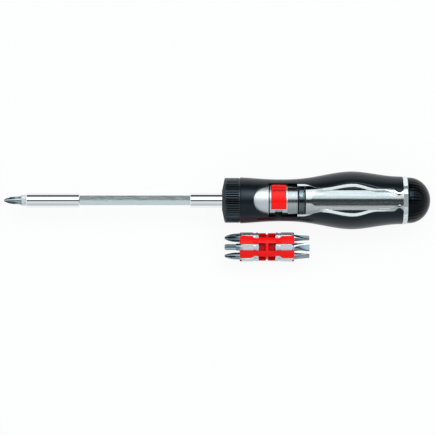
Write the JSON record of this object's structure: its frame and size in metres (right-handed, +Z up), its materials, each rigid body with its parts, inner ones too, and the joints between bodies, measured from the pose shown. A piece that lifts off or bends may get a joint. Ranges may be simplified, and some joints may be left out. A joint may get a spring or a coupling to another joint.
{
  "type": "ratcheting screwdriver",
  "caption": "Ratcheting screwdriver with a hexagon bar, bit holder, direction switch, soft grip over a clear hollow handle, pull-off end cap and a bit magazine lying beside it.",
  "frame": {"origin": "on the drive axis, at the front face of the finger ring where the ferrule leaves it", "axes": "+X along the drive axis towards the end cap, the bit towards -X; +Z up, towards the switch; +Y to the side that the switch stands towards"},
  "size_m": [0.2812, 0.0595, 0.0304],
  "materials": {
    "bar_steel": "drawn and plated hexagon bar",
    "bright_chrome": "polished chrome plate",
    "barrel_silver": "satin silver",
    "tool_steel": "ground tool steel",
    "bush_brass": "plain bearing metal",
    "magnet": "plain",
    "black_gloss": "moulded, glossy",
    "soft_black": "soft moulded, satin",
    "clear_plastic": "clear, polished",
    "switch_red": "moulded, glossy",
    "magazine_red": "moulded"
  },
  "bodies": {
    "handle": {"ratchet_housing": "barrel_silver", "housing_end": "barrel_silver", "housing_screws": "tool_steel", "front_bush": "bush_brass", "rear_bush": "bush_brass", "pawl_pins": "tool_steel", "pawl_springs": "tool_steel", "detent_spring": "tool_steel", "detent_ball": "tool_steel", "magazine_tube": "bright_chrome", "clear_core": "clear_plastic", "soft_grip": "soft_black"},
    "drive": {"drive_shaft": "bar_steel", "bit_holder": "bright_chrome", "bit_magnet": "magnet", "ferrule": "bright_chrome", "knurled_ring": "black_gloss", "ratchet_gear": "tool_steel", "thrust_washer": "bush_brass", "shaft_clip": "tool_steel"},
    "selector": {"selector_ring": "barrel_silver", "switch_button": "switch_red"},
    "pawl_a": {"pawl_forward": "tool_steel"},
    "pawl_b": {"pawl_reverse": "tool_steel"},
    "cap": {"end_cap": "black_gloss", "cap_seal": "soft_black"},
    "fitted_bit": {"driver_bit": "tool_steel"},
    "magazine": {"bit_magazine": "magazine_red"},
    "spare_bit_lobe_25": {"bit_lobe_25": "tool_steel"},
    "spare_bit_cross_2": {"bit_cross_2": "tool_steel"},
    "spare_bit_cross_3": {"bit_cross_3": "tool_steel"},
    "spare_bit_lobe_20": {"bit_lobe_20": "tool_steel"},
    "spare_bit_cross_0": {"bit_cross_0": "tool_steel"},
    "spare_bit_cross_1": {"bit_cross_1": "tool_steel"},
    "spare_bit_blade_55": {"bit_blade_55": "tool_steel"},
    "spare_bit_blade_65": {"bit_blade_65": "tool_steel"},
    "spare_bit_lobe_30": {"bit_lobe_30": "tool_steel"},
    "spare_bit_lobe_15": {"bit_lobe_15": "tool_steel"},
    "spare_bit_blade_40": {"bit_blade_40": "tool_steel"}
  },
  "joints": [
    {"name": "shaft_spin", "type": "hinge", "parent": "handle", "child": "drive", "pos_m": [0, 0, 0], "axis": [1, 0, 0], "continuous": true},
    {"name": "selector_turn", "type": "hinge", "parent": "handle", "child": "selector", "pos_m": [0.0372, 0, 0], "axis": [1, 0, 0], "range_deg": [0, 21]},
    {"name": "pawl_forward_swing", "type": "hinge", "parent": "handle", "child": "pawl_a", "pos_m": [0.0372, 0.00681, -0.00318], "axis": [1, 0, 0], "range_deg": [0, 7]},
    {"name": "pawl_reverse_swing", "type": "hinge", "parent": "handle", "child": "pawl_b", "pos_m": [0.0372, -0.00681, -0.00318], "axis": [1, 0, 0], "range_deg": [0, 7]},
    {"name": "cap_pull", "type": "slide", "parent": "handle", "child": "cap", "axis": [1, 0, 0], "range_m": [0, 0.03]},
    {"name": "fitted_bit_pull", "type": "slide", "parent": "drive", "child": "fitted_bit", "axis": [-1, 0, 0], "range_m": [0, 0.02]},
    {"name": "magazine_lift", "type": "slide", "parent": "handle", "child": "magazine", "axis": [0, 0, 1], "range_m": [0, 0.04]},
    {"name": "bit_lobe_25_pull", "type": "slide", "parent": "magazine", "child": "spare_bit_lobe_25", "axis": [-1, 0, 0], "range_m": [0, 0.03]},
    {"name": "bit_cross_2_pull", "type": "slide", "parent": "magazine", "child": "spare_bit_cross_2", "axis": [-1, 0, 0], "range_m": [0, 0.03]},
    {"name": "bit_cross_3_pull", "type": "slide", "parent": "magazine", "child": "spare_bit_cross_3", "axis": [-1, 0, 0], "range_m": [0, 0.03]},
    {"name": "bit_lobe_20_pull", "type": "slide", "parent": "magazine", "child": "spare_bit_lobe_20", "axis": [-1, 0, 0], "range_m": [0, 0.03]},
    {"name": "bit_cross_0_pull", "type": "slide", "parent": "magazine", "child": "spare_bit_cross_0", "axis": [-1, 0, 0], "range_m": [0, 0.03]},
    {"name": "bit_cross_1_pull", "type": "slide", "parent": "magazine", "child": "spare_bit_cross_1", "axis": [-1, 0, 0], "range_m": [0, 0.03]},
    {"name": "bit_blade_55_pull", "type": "slide", "parent": "magazine", "child": "spare_bit_blade_55", "axis": [1, 0, 0], "range_m": [0, 0.03]},
    {"name": "bit_blade_65_pull", "type": "slide", "parent": "magazine", "child": "spare_bit_blade_65", "axis": [1, 0, 0], "range_m": [0, 0.03]},
    {"name": "bit_lobe_30_pull", "type": "slide", "parent": "magazine", "child": "spare_bit_lobe_30", "axis": [1, 0, 0], "range_m": [0, 0.03]},
    {"name": "bit_lobe_15_pull", "type": "slide", "parent": "magazine", "child": "spare_bit_lobe_15", "axis": [1, 0, 0], "range_m": [0, 0.03]},
    {"name": "bit_blade_40_pull", "type": "slide", "parent": "magazine", "child": "spare_bit_blade_40", "axis": [1, 0, 0], "range_m": [0, 0.03]}
  ],
  "couplings": [
    {"joint": "pawl_forward_swing", "follows": "selector_turn", "ratio": 0.33333},
    {"joint": "pawl_reverse_swing", "follows": "selector_turn", "ratio": 0.33333}
  ]
}
